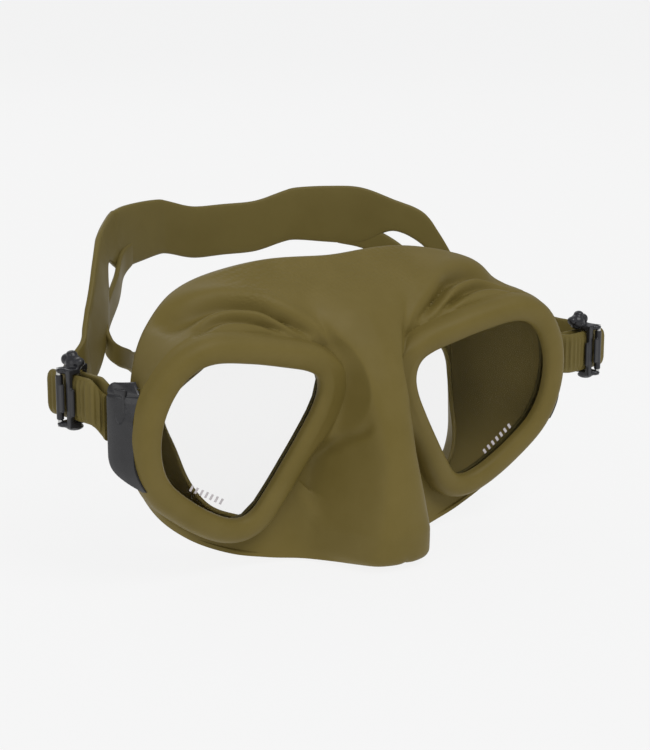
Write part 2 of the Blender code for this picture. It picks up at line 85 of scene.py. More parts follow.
SEAL_EDGE = [
    (0, 28, 38.5), (23, 29, 39), (40, 31, 35.5), (49, 32.5, 30), (54.5, 33, 23), (58, 33, 14),
    (59.3, 33, 5), (59.5, 32, -6), (57.5, 29.5, -16), (53, 25, -25), (45.5, 20.5, -31.5),
    (36, 18, -36), (27, 16, -38.5), (20, 14.5, -40), (14, 13, -40.7), (10, 12.3, -41),
    (6, 12, -41), (0, 12, -41),
]
FLAP_EDGE = [
    (0, 22, 27), (15, 22, 25), (28, 21, 19), (36, 21, 14), (42, 21, 10), (48, 22.5, 5.8),
    (52, 25, 1), (53.2, 25.6, -4), (51.4, 21.8, -12), (49.6, 17.2, -21.5), (45, 13.4, -29),
    (36, 11.5, -33), (27, 11, -35.5), (19, 10.5, -37), (13, 9.5, -38), (9.5, 8.5, -38.5),
    (5.5, 8, -38.5), (0, 8, -38.5),
]
SEAL_BULGE = 0.4
FLAP_COLUMNS = 10
FLAP_BULGE = 1.4
# The nose pocket and bridge by height: depth and half width of the front, and the face behind it.
NOSE = [
    (43, 17, 24, 17), (36, 6.5, 20, 7), (29, -2, 16.5, 0), (20, -9.5, 12, -6), (9.5, -15.3, 8.6, -8),
    (-1.5, -19.8, 6.8, -6), (-13, -23.3, 6.4, -3), (-25, -25.2, 8.2, -1.5), (-36, -26, 10.4, 0),
    (-45, -25, 11.2, 1),
]
NOSE_SIDE_SLOPE = 3.0
NOSE_CROWN = 0.012
NOSE_BLEND = 5.0
NOSE_ONSET = 0.3
# The rounding under the nose: its radius, its depth below the origin, and its share at the sides.
NOSE_CORNER = 3.4
NOSE_BOTTOM = 46.2
NOSE_CORNER_SHARE = 0.8

# Folds in the silicone, as lines seen from the front: points across and up, depth, half width.
FOLDS = [
    ([(65.5, 27.6), (61.5, 30.2), (54, 33), (46.5, 34.4), (39.5, 34), (34.6, 32.9), (29.5, 30.1),
      (23.7, 25.9), (19, 22.5)], -4.0, 1.1),
    ([(61, 27.4), (56, 29.9), (49.5, 31.3), (42.9, 31.0), (36.9, 29.4), (32.6, 27.3), (27, 24)], -3.0, 0.9),
    ([(62, 31.6), (55, 35.4), (46.3, 37.0), (36, 36.6), (27, 33), (19, 27), (14, 20), (11, 12)],
     0.75, 1.3),
    ([(64, 25), (57, 29.8), (49.5, 32.4), (41.5, 32.4), (35.6, 31.1), (31, 28.6)], 0.5, 0.8),
    ([(14.6, -16), (12.6, -11.6), (10.6, -8.3), (8.7, -5.8), (7.6, -2)], -1.3, 0.9),
    ([(12.5, -4), (13.5, 2), (13.3, 8), (11.5, 14), (9, 18.5)], -0.35, 1.0),
]


def catmull(points, steps, closed=False):
    """Points along a Catmull-Rom curve, with this many steps between each two of the given ones."""
    points = np.array(points, float)
    count = len(points)
    result = []
    for i in range(count if closed else count - 1):
        b, c = points[i], points[(i + 1) % count]
        a = points[i - 1] if i or closed else 2 * b - c
        d = points[(i + 2) % count] if closed or i + 2 < count else 2 * c - b
        t = (np.arange(steps) / steps)[:, None]
        result.append(
            0.5 * (2 * b + (c - a) * t + (2 * a - 5 * b + 4 * c - d) * t**2 + (3 * b - 3 * c + d - a) * t**3)
        )
    if not closed:
        result.append(points[-1:])
    return np.concatenate(result)


def lens_points(across, up, front):
    """Points of the lens plane, moved out of it to the front."""
    y = LENS_ORIGIN[1] - up * math.sin(LENS_LEAN) - front * math.cos(LENS_LEAN)
    z = LENS_ORIGIN[2] + up * math.cos(LENS_LEAN) - front * math.sin(LENS_LEAN)
    return np.stack([across, y, z], axis=-1)


def window_table():
    """The window's curve by rising angle round its centre: angles, points and outward directions."""
    curve = catmull(WINDOW, 16, closed=True)[::-1]
    ahead = np.roll(curve, -1, axis=0) - np.roll(curve, 1, axis=0)
    outward = np.stack([ahead[:, 1], -ahead[:, 0]], axis=1)
    outward /= np.linalg.norm(outward, axis=1)[:, None]
    angles = np.arctan2(curve[:, 1] - WINDOW_CENTRE[1], curve[:, 0] - WINDOW_CENTRE[0])
    order = np.argsort(angles)
    return angles[order], curve[order], outward[order]


TABLE_ANGLES, TABLE_POINTS, TABLE_OUTWARD = window_table()


def window_station(angle):
    """The window's point in this direction from its centre, and the outward direction there."""
    point = [np.interp(angle, TABLE_ANGLES, TABLE_POINTS[:, i], period=math.tau) for i in (0, 1)]
    outward = np.array([np.interp(angle, TABLE_ANGLES, TABLE_OUTWARD[:, i], period=math.tau) for i in (0, 1)])
    return np.array(point), outward / np.linalg.norm(outward)


# Materials -----------------------------------------------------------


def new_material(name, colour, roughness, **sockets):
    """A material with a Principled shader, and that shader and its node tree."""
    made = bpy.data.materials.new(name)
    made.use_nodes = True
    tree = made.node_tree
    shader = tree.nodes["Principled BSDF"]
    shader.inputs["Base Color"].default_value = (*colour, 1)
    shader.inputs["Roughness"].default_value = roughness
    for socket, value in sockets.items():
        shader.inputs[socket.replace("_", " ")].default_value = value
    return made, tree, shader


def add_node(tree, kind, **values):
    node = tree.nodes.new(kind)
    for name, value in values.items():
        if name in node.inputs:
            node.inputs[name].default_value = value
        else:
            setattr(node, name, value)
    return node


def noise_texture(tree, scale, detail=3.0, roughness=0.5):
    """A noise over the object's own coordinates, in cycles per metre."""
    place = add_node(tree, "ShaderNodeTexCoord")
    noise = add_node(tree, "ShaderNodeTexNoise", Scale=scale, Detail=detail, Roughness=roughness)
    tree.links.new(place.outputs["Object"], noise.inputs["Vector"])
    return noise


def ranged(tree, source, low, high):
    """The source's 0 to 1 spread over low to high."""
    node = add_node(tree, "ShaderNodeMapRange")
    node.inputs["From Min"].default_value = 0.3
    node.inputs["From Max"].default_value = 0.7
    node.inputs["To Min"].default_value = low
    node.inputs["To Max"].default_value = high
    tree.links.new(source, node.inputs["Value"])
    return node.outputs["Result"]


def mottled(tree, shader, light, dark, scale):
    """Base colour that wanders between two shades."""
    noise = noise_texture(tree, scale, 4.0, 0.6)
    ramp = add_node(tree, "ShaderNodeValToRGB")
    ramp.color_ramp.elements[0].position = 0.35
    ramp.color_ramp.elements[0].color = (*dark, 1)
    ramp.color_ramp.elements[1].position = 0.65
    ramp.color_ramp.elements[1].color = (*light, 1)
    tree.links.new(noise.outputs["Fac"], ramp.inputs["Fac"])
    tree.links.new(ramp.outputs["Color"], shader.inputs["Base Color"])


def bumped(tree, shader, height, strength, distance):
    bump = add_node(tree, "ShaderNodeBump", Strength=strength, Distance=distance)
    tree.links.new(height, bump.inputs["Height"])
    tree.links.new(bump.outputs["Normal"], shader.inputs["Normal"])


def silicone(name, light, dark, roughness):
    made, tree, shader = new_material(name, light, roughness, Specular_IOR_Level=0.14)
    mottled(tree, shader, light, dark, 55)
    grain = noise_texture(tree, 2600, 2.0)
    tree.links.new(ranged(tree, noise_texture(tree, 90).outputs["Fac"], roughness - 0.05, roughness + 0.06),
                   shader.inputs["Roughness"])
    bumped(tree, shader, grain.outputs["Fac"], 0.05, 0.00006)
    return made, tree, shader


OLIVE_LIGHT = (0.162, 0.122, 0.033)
OLIVE_DARK = (0.147, 0.110, 0.027)
STRAP_LIGHT = (0.152, 0.118, 0.034)
STRAP_DARK = (0.138, 0.106, 0.029)


# Mesh helpers --------------------------------------------------------


def grid_mesh(bm, points, close_rows=False):
    """Quads over a grid of points; returns its vertices."""
    verts = [[bm.verts.new(p) for p in row] for row in points]
    pairs = list(zip(verts, verts[1:])) + ([(verts[-1], verts[0])] if close_rows else [])
    for near, far in pairs:
        for k in range(len(near) - 1):
            bm.faces.new((near[k], near[k + 1], far[k + 1], far[k]))
    return verts


def to_object(name, bm, material, smooth_angle=40):
    """An object in the scene from a bmesh in millimetres."""
    bm.normal_update()
    bmesh.ops.recalc_face_normals(bm, faces=bm.faces)
    if all(e.is_manifold for e in bm.edges) and bm.calc_volume(signed=True) < 0:
        bmesh.ops.reverse_faces(bm, faces=bm.faces)
    bmesh.ops.scale(bm, vec=(MM, MM, MM), verts=bm.verts)
    mesh = bpy.data.meshes.new(name)
    bm.to_mesh(mesh)
    bm.free()
    mesh.shade_smooth()
    mesh.set_sharp_from_angle(angle=math.radians(smooth_angle))
    mesh.materials.append(material)
    obj = bpy.data.objects.new(name, mesh)
    bpy.context.scene.collection.objects.link(obj)
    return obj


# Skirt ---------------------------------------------------------------


def nose_front(height):
    """The bridge's or nose's front depth and half width at this height."""
    table = np.array(NOSE)[::-1]
    return [np.interp(height, table[:, 0], table[:, i]) for i in (1, 2)]


def nose_depth(across, height):
    front, half_width = nose_front(height)
    drop = np.clip((NOSE_CORNER - NOSE_BOTTOM - height) / NOSE_CORNER, 0, 1)
    turn_in = NOSE_CORNER * (1 - np.sqrt(1 - drop * drop))
    front, half_width = front + turn_in, half_width - NOSE_CORNER_SHARE * turn_in
    beyond = across - half_width
    side = 0.5 * (beyond + np.sqrt(beyond * beyond + 5)) * NOSE_SIDE_SLOPE
    return front + NOSE_CROWN * across * across + side - 1.0


def smooth_min(a, b, radius):
    share = np.maximum(radius - np.abs(a - b), 0) / radius
    return np.minimum(a, b) - share * share * radius / 4


def body_points(base, target):
    """The front between the rim's base and the outer loop."""
    step = np.linspace(0, 1, BODY_COLUMNS + 1)[1:]
    points = base + (target - base) * step[:, None]
    face = base[1] + (target[1] - base[1]) * step**1.6
    with_nose = smooth_min(face, nose_depth(points[:, 0], points[:, 2]), NOSE_BLEND)
    points[:, 1] = face + (with_nose - face) * np.minimum(step / NOSE_ONSET, 1)
    return points


def eased_step(value, low, high):
    """0 below low, 1 above high, smooth between."""
    share = np.clip((value - low) / (high - low), 0, 1)
    return share * share * (3 - 2 * share)


def spoke(target, section):
    """One row of the front: the rim's section, flattened where it runs into the bridge, then the body."""
    angle = math.atan2(target[2] - LENS_ORIGIN[2] - WINDOW_CENTRE[1], target[0] - WINDOW_CENTRE[0])
    point, outward = window_station(angle)
    places = point + section[:, :1] * outward
    merge = eased_step(-outward[0], 0.55, 0.95) * eased_step(point[1], -13, -4)
    flat = 1.1 - 0.12 * (section[:, 0] - 3.9)
    outer = section[:, 0] > 3.9
    fronts = np.where(outer, section[:, 1] + (flat - section[:, 1]) * merge, section[:, 1])
    rim = lens_points(places[:, 0], places[:, 1], fronts)
    return np.concatenate([rim, body_points(rim[-1], target)])


def wall_points(front, rear, flap):
    """The side wall back to the seal, and the flap that curls in from it."""
    step = np.linspace(0, 1, WALL_COLUMNS + 1)[1:, None]
    away = np.array([front[0], 0, front[2] + 3])
    away /= np.linalg.norm(away)
    wall = front + (rear - front) * step + away * SEAL_BULGE * np.sin(math.pi * step)
    turn = np.linspace(0, 1, FLAP_COLUMNS + 1)[1:, None]
    roll = rear + (flap - rear) * turn
    roll[:, 1:2] += FLAP_BULGE * np.sin(math.pi * turn) * (1 - turn)
    return np.concatenate([wall, roll])


def skirt_rows():
    """Rows of the skirt's right half: from brow centre round the side to the lip, then up the middle."""
    edge = catmull(FRONT_EDGE, 9)
    rear, flap = catmull(SEAL_EDGE, 9), catmull(FLAP_EDGE, 9)
    middle = catmull([(0, face, height) for height, _, _, face in reversed(NOSE)], 9)[1:-1]
    section = catmull(RIM_SECTION, 3)
    rows = [spoke(target, section) for target in np.concatenate([edge, middle])]
    walls = [wall_points(row[-1], *ends) for row, *ends in zip(rows, rear, flap)]
    return np.array(rows), np.array(walls), len(section)


def fold_shift(x, z):
    """How far the folds move the surface in or out at this place."""
    shift = 0.0
    here = np.array([abs(x), z])
    for line, height, width in FOLD_CURVES:
        gaps = np.linalg.norm(line - here, axis=1)
        nearest = int(np.argmin(gaps))
        if gaps[nearest] < FOLD_REACH * width:
            along = nearest / (len(line) - 1)
            fade = min(1.0, FOLD_FADES[0] * along, FOLD_FADES[1] * (1 - along))
            shift += height * fade * math.exp(-((gaps[nearest] / width) ** 2))
    return shift


FOLD_CURVES = [(catmull(points, 10), height, width) for points, height, width in FOLDS]
# How fast a fold fades in and out along its line, and how many half widths it reaches.
FOLD_FADES = (6, 5)
FOLD_REACH = 3


def make_skirt(material):
    rows, walls, rim_count = skirt_rows()
    for side_row in (0, len(walls) - 1):
        walls[side_row][:, 0] = 0.0
    bm = bmesh.new()
    soft = bm.verts.layers.deform.verify()
    verts = grid_mesh(bm, rows, close_rows=True)
    for i, wall in enumerate(walls):
        line = [verts[i][-1]] + [bm.verts.new(p) for p in wall]
        if i:
            for k in range(len(line) - 1):
                bm.faces.new((previous[k], previous[k + 1], line[k + 1], line[k]))
        previous = line
    for row in verts:
        share = min((row[-1].co - row[rim_count - 1].co).length / ROUNDED_REACH, 1)
        for k, vert in enumerate(row):
            vert[soft][0] = min(max((k - rim_count + 3) / 8, 0), 1)
            if k > len(row) - ROUNDED_COLUMNS and row is not verts[0]:
                vert[soft][1] = share * (k - len(row) + ROUNDED_COLUMNS) / ROUNDED_COLUMNS
    for vert in bm.verts:
        if not vert[soft]:
            vert[soft][0] = 1.0
            vert[soft][1] = 0.6
    bm.normal_update()
    bmesh.ops.recalc_face_normals(bm, faces=bm.faces)
    for row in verts:
        for k in range(rim_count - 2, len(row)):
            row[k].co += row[k].normal * fold_shift(row[k].co.x, row[k].co.z)
    obj = to_object("skirt_shell", bm, material, 60)
    obj.vertex_groups.new(name="soft")
    obj.vertex_groups.new(name="edge")
    mirror = obj.modifiers.new("halves", "MIRROR")
    mirror.merge_threshold = 0.00005
    mirror.use_clip = True
    ease = obj.modifiers.new("ease", "SMOOTH")
    ease.vertex_group = "soft"
    ease.factor = 0.5
    ease.iterations = 2
    rounding = obj.modifiers.new("edge rounding", "SMOOTH")
    rounding.vertex_group = "edge"
    rounding.factor = 0.5
    rounding.iterations = 14
    shell = obj.modifiers.new("skin", "SOLIDIFY")
    shell.thickness = SKIRT_THICKNESS * MM
    shell.offset = -1
    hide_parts("skirt")
    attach(obj, "root")


# Stage ---------------------------------------------------------------


def make_stage():
    """A pale floor that glows evenly, a soft world and three large lights."""
    bm = bmesh.new()
    bmesh.ops.create_grid(bm, x_segments=8, y_segments=8, size=30000)
    made, tree, shader = new_material("pale floor", (0.06, 0.06, 0.06), 0.9, Specular_IOR_Level=0.0)
    shader.inputs["Emission Color"].default_value = (1, 1, 1, 1)
    shader.inputs["Emission Strength"].default_value = FLOOR_GLOW
    floor = to_object("floor", bm, made)
    floor.location.z = cad_low.z - 0.0003
    world = bpy.data.worlds.new("studio")
    bpy.context.scene.world = world
    world.use_nodes = True
    world.node_tree.nodes["Background"].inputs["Color"].default_value = (0.96, 0.97, 1.0, 1)
    world.node_tree.nodes["Background"].inputs["Strength"].default_value = WORLD_STRENGTH
    for name, place, size, power in LIGHTS:
        data = bpy.data.lights.new(name, "AREA")
        data.size = size
        data.energy = power
        light = bpy.data.objects.new(name, data)
        light.location = place
        light.rotation_euler = (-Vector(place)).to_track_quat("-Z", "Y").to_euler()
        bpy.context.scene.collection.objects.link(light)


FLOOR_GLOW = 0.865
WORLD_STRENGTH = 0.45
# Name, place in metres, size in metres and power.
LIGHTS = [
    ("key", (0.25, -1.1, 1.6), 1.0, 17), ("fill", (-1.5, -0.6, 0.7), 1.2, 5),
    ("back", (0.2, 1.4, 1.2), 1.2, 6),
]
CAMERA_PLACE = (-0.3147, -0.4475, 0.1370)
CAMERA_TURN = (-34.0, 13.27)
CAMERA_LENS = 88.8


def make_camera():
    azimuth, elevation = (math.radians(a) for a in CAMERA_TURN)
    level = math.cos(elevation)
    back = Vector((math.sin(azimuth) * level, -math.cos(azimuth) * level, math.sin(elevation)))
    data = bpy.data.cameras.new("camera")
    data.lens = CAMERA_LENS
    camera = bpy.data.objects.new("camera", data)
    camera.location = CAMERA_PLACE
    camera.rotation_euler = (-back).to_track_quat("-Z", "Y").to_euler()
    bpy.context.scene.collection.objects.link(camera)
    bpy.context.scene.camera = camera
    bpy.context.scene.view_settings.view_transform = "Standard"


# Strap ---------------------------------------------------------------

STRAP_THICKNESS = 1.7
LOWER_THICKNESS = 1.6
STRAND_WIDTH = 13.4
STRAND_SHIFT = 2.0
STRAP_AT_LUG = 4.2
LUG_PIN = (79.2, 6.5, 2.5)
# Its middle line and upright width: from the back of the head to each buckle, then the lower band.
BAND_MIDDLE = [(0, 80, 42.4, 17.1)]
BAND_LEFT = [
    (-12, 79.3, 42.6, 17.2), (-22, 77.5, 45.2, 17.4), (-27, 76, 46, 18), (-38, 71.5, 45.5, 19.4),
    (-47, 66.5, 45, 19), (-54.2, 60, 45.5, 12.5), (-58.6, 54, 40.8, 16), (-62.8, 47.5, 32.5, 21),
    (-68.3, 41, 23.2, 21), (-76.2, 33.6, 13.6, 17),
]
BAND_RIGHT = [
    (12, 79.3, 42.6, 17.2), (22, 77.5, 45.2, 17.4), (27, 76, 46, 18), (38, 71.5, 45.5, 19.4),
    (47, 66.5, 45, 19), (56, 60.5, 45, 11), (65, 55, 40, 11.6), (71, 52, 30.5, 12.5),
    (77, 48.5, 20, 13), (90, 42, 11, 13.4), (103, 34, 3, 13.4), (111.1, 26, 0.8, 13.4),
]
LOWER_BAND = [
    (-40, 70.5, 39.5, 8), (-46, 65.8, 36.6, 8.5), (-51.6, 58.6, 31, 9.5), (-59.8, 50, 24, 9),
    (-62.6, 44.5, 18, 8), (-61.2, 41.5, 14.5, 7), (-55.5, 44.6, 11.5, 6.7), (-50, 50, 8.8, 7),
    (-38, 58.5, 8.5, 8), (-20, 66.5, 9.5, 9), (0, 69, 10.5, 9.5), (20, 66.5, 11.5, 9),
    (38, 59.5, 12, 8.5), (52, 53, 14, 8), (60, 50, 19, 8), (61.5, 53.5, 25, 8.5),
    (57, 59.5, 31.5, 9), (48, 66, 37.5, 8.6), (40, 70.5, 39.5, 8),
]
# How far the long band leans over where it twists, by height on the right side, and which way.
LEAN = [(13, 0.0), (20, 0.12), (30, 0.15), (40, 0.15), (47, 0.03)]
LEAN_WAY = (-0.829, 0.559, 0.0)
LEAN_START = -48.0
STRAIGHT = 8.5
SIDES = {
    "right_side": {"side": -1, "centre": (-84.2, 22.0, 8.8), "heading": (-0.16, 0.987), "tail": 10.8,
                   "band": BAND_MIDDLE + BAND_LEFT, "knob": (0.4, 0.6)},
    "left_side": {"side": 1, "centre": (104.2, 15.7, 0.6), "heading": (0.98, 0.2), "tail": 8.2,
                  "band": BAND_MIDDLE + BAND_RIGHT, "knob": (-2.6, -1.0)},
}
RIB_PITCH = 2.0
RIB_HEIGHT = 0.55
RIBS_START = 3.0
RIBS_END = 1.2
TAIL_ROUND = 2.2
# Spacing of the sections along the plain bands and along the ribbed ends.
BAND_STEP = 0.9
RIB_STEP = 0.22


class Place:
    """A local frame on the strap or a lug: along the strap, outward, and up, in millimetres."""

    def __init__(self, origin, heading, side):
        self.origin = np.array(origin, float)
        along = np.array([heading[0], heading[1], 0.0])
        self.along = along / np.linalg.norm(along)
        self.out = np.array([self.along[1], -self.along[0], 0.0]) * side

    def point(self, along, out, up):
        return self.origin + self.along * along + self.out * out + np.array([0.0, 0.0, up])


def buckle_place(label):
    values = SIDES[label]
    return Place(values["centre"], values["heading"], values["side"])


def lug_place(label):
    side = SIDES[label]["side"]
    return Place((side * LUG_PIN[0], LUG_PIN[1], LUG_PIN[2]), (0, 1), side)


def strand(place, alongs, shift):
    return [(*place.point(a, shift, 0.0), STRAND_WIDTH) for a in alongs]


def eased(start, finish, first, last, sign):
    """A smooth strand between two places that leaves and arrives along their headings."""
    pull = np.linalg.norm(finish - start) * 0.45 * sign
    a, b = start + first.along * pull, finish - last.along * pull
    t = np.linspace(0, 1, 9)[:, None]
    curve = start * (1 - t) ** 3 + a * 3 * t * (1 - t) ** 2 + b * 3 * t * t * (1 - t) + finish * t**3
    return [(*p, STRAND_WIDTH) for p in curve]


def side_paths(label):
    """One side of the strap: from the head through the buckle, and from the lug pin back out to the tail."""
    buckle, lug = buckle_place(label), lug_place(label)
    rise = STRAP_AT_LUG - LUG_PIN[2]
    inner = [tuple(p) for p in catmull(SIDES[label]["band"], 3)]
    inner += strand(buckle, (STRAIGHT, 0, -STRAIGHT), -STRAND_SHIFT)
    ends = [buckle.point(-STRAIGHT, -STRAND_SHIFT, 0), lug.point(3.2, -STRAND_SHIFT, rise)]
    inner += eased(*ends, buckle, lug, -1)
    turn = np.linspace(0, math.pi, 9)
    loop = [
        (*lug.point(-STRAND_SHIFT * math.sin(angle), -STRAND_SHIFT * math.cos(angle), rise), STRAND_WIDTH)
        for angle in turn
    ]
    ends = [lug.point(3.2, STRAND_SHIFT, rise), buckle.point(-STRAIGHT, STRAND_SHIFT, 0)]
    outer = eased(*ends, lug, buckle, 1)
    tail = SIDES[label]["tail"]
    outer += strand(buckle, (0, tail / 2, tail), STRAND_SHIFT)
    return inner + loop, outer


def resampled(path, spacing):
    """The path at even steps, with its repeated points dropped."""
    path = np.array(path)
    gaps = np.linalg.norm(np.diff(path[:, :3], axis=0), axis=1)
    path = path[np.concatenate([[True], gaps > 0.2])]
    fine = catmull(path, 8)
    lengths = np.concatenate([[0], np.cumsum(np.linalg.norm(np.diff(fine[:, :3], axis=0), axis=1))])
    count = max(int(lengths[-1] / spacing), 2)
    wanted = np.linspace(0, lengths[-1], count + 1)
    return np.stack([np.interp(wanted, lengths, fine[:, i]) for i in range(4)], axis=1), wanted


def strap_section(width, half, lift):
    """A flat section with rounded edges, as (out, up) pairs; its +out face is lifted by the ribs."""
    ups = np.linspace(-1, 1, 9) * (width / 2 - half)
    face = [(half + (lift if abs(u) < width / 2 - 1.3 else 0), u) for u in ups]
    top = [(half * math.cos(a), width / 2 - half + half * math.sin(a)) for a in (0.5, 1.05, 1.57, 2.09, 2.64)]
    back = [(-half, u) for u in ups[::-1]]
    low = [(-x, -u) for x, u in top]
    return face + top + back + low


def section_up(place):
    """The upright direction of the long band's section, leaning over where the band twists."""
    share = np.interp(place[2], *np.array(LEAN).T) if place[0] < LEAN_START else 0.0
    return np.array([0, 0, 1.0]) + np.array(LEAN_WAY) * share


def add_strip(bm, path, lengths, thickness, ribs=None, side=1, end_round=0.0, leaning=False):
    """A closed band with rounded edges along a path of places and upright widths."""
    half = thickness / 2
    ahead = np.gradient(path[:, :3], axis=0)
    out = np.stack([ahead[:, 1], -ahead[:, 0], np.zeros(len(path))], axis=1)
    out /= np.linalg.norm(out, axis=1)[:, None]
    rings = []
    total = lengths[-1]
    for place, normal, reach in zip(path, out * side, lengths):
        lift = 0.0
        if ribs and ribs[0] < reach < ribs[1]:
            wave = math.sin(math.tau * (reach - ribs[0]) / RIB_PITCH - math.pi / 2)
            lift = RIB_HEIGHT * (0.5 + 0.5 * max(-1, min(1, 1.7 * wave)))
        width = place[3]
        left = total - reach
        if end_round and left < end_round:
            width -= 2 * (end_round - math.sqrt(max(end_round**2 - (end_round - left) ** 2, 0)))
        up = section_up(place) if leaning else np.array([0, 0, 1.0])
        ring = [place[:3] + normal * o + up * u for o, u in strap_section(width, half, lift)]
        rings.append(ring)
    verts = [[bm.verts.new(p) for p in ring] for ring in rings]
    for near, far in zip(verts, verts[1:]):
        for k in range(len(near)):
            following = (k + 1) % len(near)
            bm.faces.new((near[k], near[following], far[following], far[k]))
    bm.faces.new(verts[0])
    bm.faces.new(verts[-1][::-1])


def make_strap(material):
    """The split strap: its long band, the two ribbed ends and the lower band."""
    inner_right, outer_right = side_paths("right_side")
    inner_left, outer_left = side_paths("left_side")
    bm = bmesh.new()
    path, lengths = resampled(inner_right[::-1] + inner_left[1:], BAND_STEP)
    add_strip(bm, path, lengths, STRAP_THICKNESS, side=-1, leaning=True)
    lower, lower_lengths = resampled(LOWER_BAND, BAND_STEP)
    add_strip(bm, lower, lower_lengths, LOWER_THICKNESS)
    for outer, side in ((outer_right, -1), (outer_left, 1)):
        ribbed, reach = resampled(outer, RIB_STEP)
        add_strip(bm, ribbed, reach, STRAP_THICKNESS, (RIBS_START, reach[-1] - RIBS_END), side, TAIL_ROUND)
    obj = to_object("strap_bands", bm, material, 50)
    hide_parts("strap")
    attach(obj, "root")


# Moulded plastic -----------------------------------------------------


def add_block(bm, place, low, high):
    made = bmesh.ops.create_cube(bm, size=1.0)
    for vert in made["verts"]:
        corner = [low[i] + (vert.co[i] + 0.5) * (high[i] - low[i]) for i in range(3)]
        vert.co = place.point(*corner)


def add_ball(bm, place, centre, radii):
    made = bmesh.ops.create_icosphere(bm, subdivisions=3, radius=1.0)
    for vert in made["verts"]:
        vert.co = place.point(*(centre[i] + vert.co[i] * radii[i] for i in range(3)))


def add_post(bm, place, centre, radius, low, high, sides=28):
    made = bmesh.ops.create_cone(bm, cap_ends=True, segments=sides, radius1=radius, radius2=radius, depth=1.0)
    for vert in made["verts"]:
        up = low + (vert.co.z + 0.5) * (high - low)
        vert.co = place.point(centre[0] + vert.co.x, centre[1] + vert.co.y, up)


def moulded(obj, voxel=0.28, smoothing=5):
    """Blends the object's overlapping solids into one moulded form with soft edges."""
    remesh = obj.modifiers.new("mould", "REMESH")
    remesh.mode = "VOXEL"
    remesh.voxel_size = voxel * MM
    remesh.use_smooth_shade = True
    ease = obj.modifiers.new("soft edges", "SMOOTH")
    ease.factor = 0.5
    ease.iterations = smoothing
    return obj


BUCKLE_INNER = 3.3
BUCKLE_OUTER = 4.7
BUCKLE_TOP = 8.8
BUCKLE_TUNNEL = 7.05
CAM_PIVOT = (1.6, 5.0)
KNOB_LOBES = [
    ((0, 0, 9.5), (2.7, 2.6, 2.6)), ((2.7, 0.4, 10.3), (1.8, 1.8, 1.8)), ((-2.6, 0, 10.2), (1.7, 1.7, 1.5)),
    ((0.9, 0, 12.0), (1.7, 1.7, 1.2)),
]


def make_buckle(label, material):
    """The slim frame that slides on the doubled strap, with its lobed knob and small foot."""
    place = buckle_place(label)
    along, out = SIDES[label]["knob"]
    bm = bmesh.new()
    add_block(bm, place, (0.6, -4.3, -BUCKLE_TOP), (1.9, -BUCKLE_INNER, BUCKLE_TOP))
    add_block(bm, place, (-3.1, BUCKLE_INNER + 0.3, -BUCKLE_TOP), (-1.2, BUCKLE_OUTER + 0.2, BUCKLE_TOP))
    add_block(bm, place, (-4.2, BUCKLE_INNER + 0.4, -4.9), (-2.9, BUCKLE_OUTER, 3.0))
    for low, high in ((BUCKLE_TUNNEL, BUCKLE_TOP), (-BUCKLE_TOP, -BUCKLE_TUNNEL)):
        add_block(bm, place, (0.4, -4.3, low), (2.1, 1.2, high))
        add_block(bm, place, (-3.1, 0.8, low), (2.1, BUCKLE_OUTER, high))
        add_ball(bm, place, (CAM_PIVOT[0] - 0.5, CAM_PIVOT[1] - 0.5, (low + high) / 2), (1.8, 1.6, 1.0))
    for centre, radii in KNOB_LOBES:
        add_ball(bm, place, (centre[0] + along, centre[1] + out, centre[2]), radii)
    add_ball(bm, place, (-0.8, 1.7, -8.8), (2.3, 2.7, 1.1))
    obj = moulded(to_object(f"buckle_{label}", bm, material))
    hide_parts(f"buckle_frame_{label}")
    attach(obj, f"buckle_{label}")


def make_cam(label, material):
    """The cam lever: a hub on its pin and a thumb plate over the outer strand."""
    place = buckle_place(label)
    bm = bmesh.new()
    add_post(bm, place, CAM_PIVOT, 1.1, -6.7, 6.7)
    add_block(bm, place, (-0.9, 5.1, -4.2), (1.6, 5.9, 4.2))
    obj = moulded(to_object(f"cam_{label}", bm, material), 0.26, 4)
    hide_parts(f"buckle_cam_{label}")
    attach(obj, f"cam_{label}")


# Lugs ----------------------------------------------------------------

# The cover's outer line in plan at its middle: back from the lens plane, and across.
COVER_LINE = [(-1.5, 78.9), (0.0, 79.8), (2.0, 81.0), (4.2, 82.0), (6.0, 82.5), (6.9, 82.6)]
COVER_SKIN = 0.5
COVER_STEP = 0.22
# By height: how far the rear end and the outer face draw in, and the front end moves back.
COVER_TAPER = [
    (15.6, 1.6, 1.6, 4.2), (15.2, 1.0, 1.0, 3.4), (14.2, 0.4, 0.5, 2.2), (12.6, 0.0, 0.15, 0.6),
    (11.6, 0, 0.05, 0), (8.0, 0, 0, 0), (-5.0, 0, 0, 0), (-7.5, 0.3, 0.05, 0),
    (-9.5, 1.0, 0.3, 0), (-11.2, 2.2, 0.8, 0), (-13.0, 4.0, 1.6, 0), (-14.8, 6.0, 2.6, 0),
    (-16.2, 7.6, 3.6, 0),
]
# How far the rim's side lies inside the cover's front end, by height.
RIM_GAP = [(-16.2, 0.0), (5.0, 0.0), (10.0, 1.2), (14.0, 3.0), (15.6, 3.6)]
DENT_CENTRE = (2.3, 7.5)
DENT_SIZE = (1.6, 3.4)
DENT_DEPTH = 0.35
GROOVE_HEIGHT = 12.1
GROOVE_HALF = 0.35


